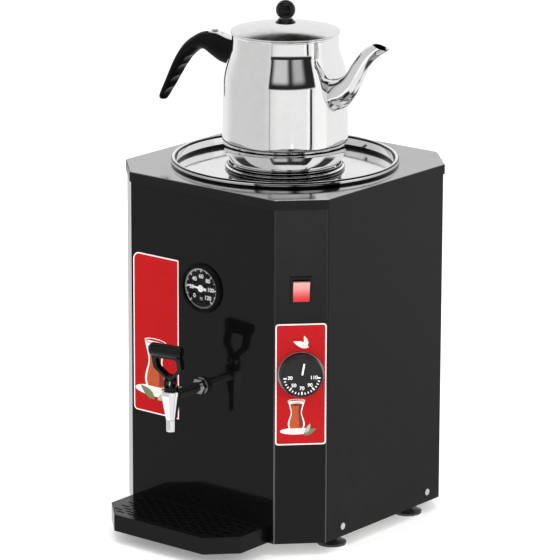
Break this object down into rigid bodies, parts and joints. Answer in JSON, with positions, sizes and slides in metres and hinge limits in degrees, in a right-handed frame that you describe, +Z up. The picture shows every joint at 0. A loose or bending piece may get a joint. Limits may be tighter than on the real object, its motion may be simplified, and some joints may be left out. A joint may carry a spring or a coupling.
{
  "type": "tea urn",
  "caption": "Cut-cornered countertop tea urn with a tap, drip tray, dial controls and a spouted teapot standing on its round boiler lid.",
  "frame": {"origin": "on the table under the middle of the casing", "axes": "+X to the right of the front face, +Y to the back, +Z up"},
  "size_m": [0.3436, 0.3923, 0.6163],
  "materials": {
    "black_paint": "semi-gloss powder coat",
    "zinc_steel": "bright zinc",
    "polished_steel": "polished",
    "pot_steel": "mirror polished",
    "foot_plastic": "satin",
    "felt": "needled felt",
    "heater_steel": "heat tinted",
    "brass": "turned",
    "copper": "drawn copper",
    "silicone": "soft",
    "chrome": "bright",
    "bakelite": "glossy",
    "black_plastic": "satin",
    "dial_black": "matt print",
    "pointer_white": "matt",
    "clear_glass": "clear",
    "rocker_red": "translucent, glossy",
    "plate_red": "printed, satin",
    "label_print": "printed film",
    "knob_black": "satin",
    "white_plastic": "satin"
  },
  "bodies": {
    "casing": {"base_plate": "zinc_steel", "boiler_legs": "zinc_steel", "boiler_outlet": "polished_steel", "boiler_tank": "polished_steel", "cable_entry": "black_plastic", "cap_frame": "black_paint", "case_screws": "zinc_steel", "control_plate": "plate_red", "foot_nuts": "zinc_steel", "front_label": "label_print", "front_shell": "black_paint", "gauge_bezel": "bakelite", "gauge_case": "zinc_steel", "gauge_dial": "dial_black", "gauge_glass": "clear_glass", "gauge_probe": "copper", "heat_jacket": "felt", "heater_element": "heater_steel", "heater_gaskets": "silicone", "heater_nuts": "brass", "knob_ring": "chrome", "overheat_cutout": "black_plastic", "rear_shell": "black_paint", "switch_frame": "black_plastic", "tap_body": "chrome", "tap_bonnet": "bakelite", "tap_nozzle": "chrome", "tap_nuts": "chrome", "tap_seal_ring": "silicone", "tap_spring": "zinc_steel", "tap_washer": "chrome", "terminal_block": "white_plastic", "thermostat_body": "zinc_steel", "thermostat_probe": "copper", "thermostat_screws": "zinc_steel", "top_plate": "polished_steel"},
    "boiler_cover": {"boiler_lid": "polished_steel", "teapot_collar": "polished_steel"},
    "pot": {"teapot_body": "pot_steel", "teapot_spout": "pot_steel", "teapot_handle": "bakelite", "handle_bracket": "pot_steel", "handle_screw": "zinc_steel"},
    "pot_cover": {"teapot_lid": "pot_steel", "lid_knob": "bakelite", "knob_screw": "zinc_steel"},
    "valve": {"tap_stem": "chrome", "tap_seal": "silicone", "lever_pin": "chrome"},
    "lever": {"tap_lever": "bakelite"},
    "knob": {"thermostat_knob": "knob_black", "thermostat_shaft": "zinc_steel"},
    "rocker": {"switch_rocker": "rocker_red"},
    "pointer": {"gauge_pointer": "pointer_white"},
    "tray": {"drip_tray": "black_paint"},
    "grate": {"drip_grate": "black_paint"},
    "front_right_foot": {"foot_1": "foot_plastic"},
    "front_left_foot": {"foot_2": "foot_plastic"},
    "rear_right_foot": {"foot_3": "foot_plastic"},
    "rear_left_foot": {"foot_4": "foot_plastic"}
  },
  "joints": [
    {"name": "boiler_lid_lift", "type": "slide", "parent": "casing", "child": "boiler_cover", "axis": [0, 0, 1], "range_m": [0, 0.08]},
    {"name": "teapot_lift", "type": "slide", "parent": "boiler_cover", "child": "pot", "axis": [0, 0, 1], "range_m": [0, 0.06]},
    {"name": "teapot_lid_lift", "type": "slide", "parent": "pot", "child": "pot_cover", "axis": [0, 0, 1], "range_m": [0, 0.05]},
    {"name": "valve_lift", "type": "slide", "parent": "casing", "child": "valve", "axis": [0, 0, 1], "range_m": [0, 0.003], "stiffness_N_per_m": 800, "springref_m": -0.002, "deforming": ["tap_spring"]},
    {"name": "lever_pull", "type": "hinge", "parent": "valve", "child": "lever", "pos_m": [0, -0.2072, 0.203], "axis": [0.9877, 0.1564, 0], "range_deg": [0, 30]},
    {"name": "knob_turn", "type": "hinge", "parent": "casing", "child": "knob", "pos_m": [0.12855, -0.13025, 0.219], "axis": [-0.7071, 0.7071, 0], "range_deg": [0, 270]},
    {"name": "rocker_rock", "type": "hinge", "parent": "casing", "child": "rocker", "pos_m": [0.12784, -0.12954, 0.3178], "axis": [-0.7071, -0.7071, 0], "range_deg": [0, 20]},
    {"name": "pointer_turn", "type": "hinge", "parent": "casing", "child": "pointer", "pos_m": [0, -0.1539, 0.3025], "axis": [0, 1, 0], "range_deg": [-49, 221]},
    {"name": "tray_slide", "type": "slide", "parent": "casing", "child": "tray", "axis": [0, -1, 0], "range_m": [0, 0.06]},
    {"name": "grate_lift", "type": "slide", "parent": "tray", "child": "grate", "axis": [0, 0, 1], "range_m": [0, 0.03]},
    {"name": "front_right_foot_screw", "type": "slide", "parent": "casing", "child": "front_right_foot", "axis": [0, 0, -1], "range_m": [0, 0.008]},
    {"name": "front_left_foot_screw", "type": "slide", "parent": "casing", "child": "front_left_foot", "axis": [0, 0, -1], "range_m": [0, 0.008]},
    {"name": "rear_right_foot_screw", "type": "slide", "parent": "casing", "child": "rear_right_foot", "axis": [0, 0, -1], "range_m": [0, 0.008]},
    {"name": "rear_left_foot_screw", "type": "slide", "parent": "casing", "child": "rear_left_foot", "axis": [0, 0, -1], "range_m": [0, 0.008]}
  ],
  "couplings": [
    {"joint": "lever_pull", "follows": "valve_lift", "rad_per_m": 174.53}
  ]
}
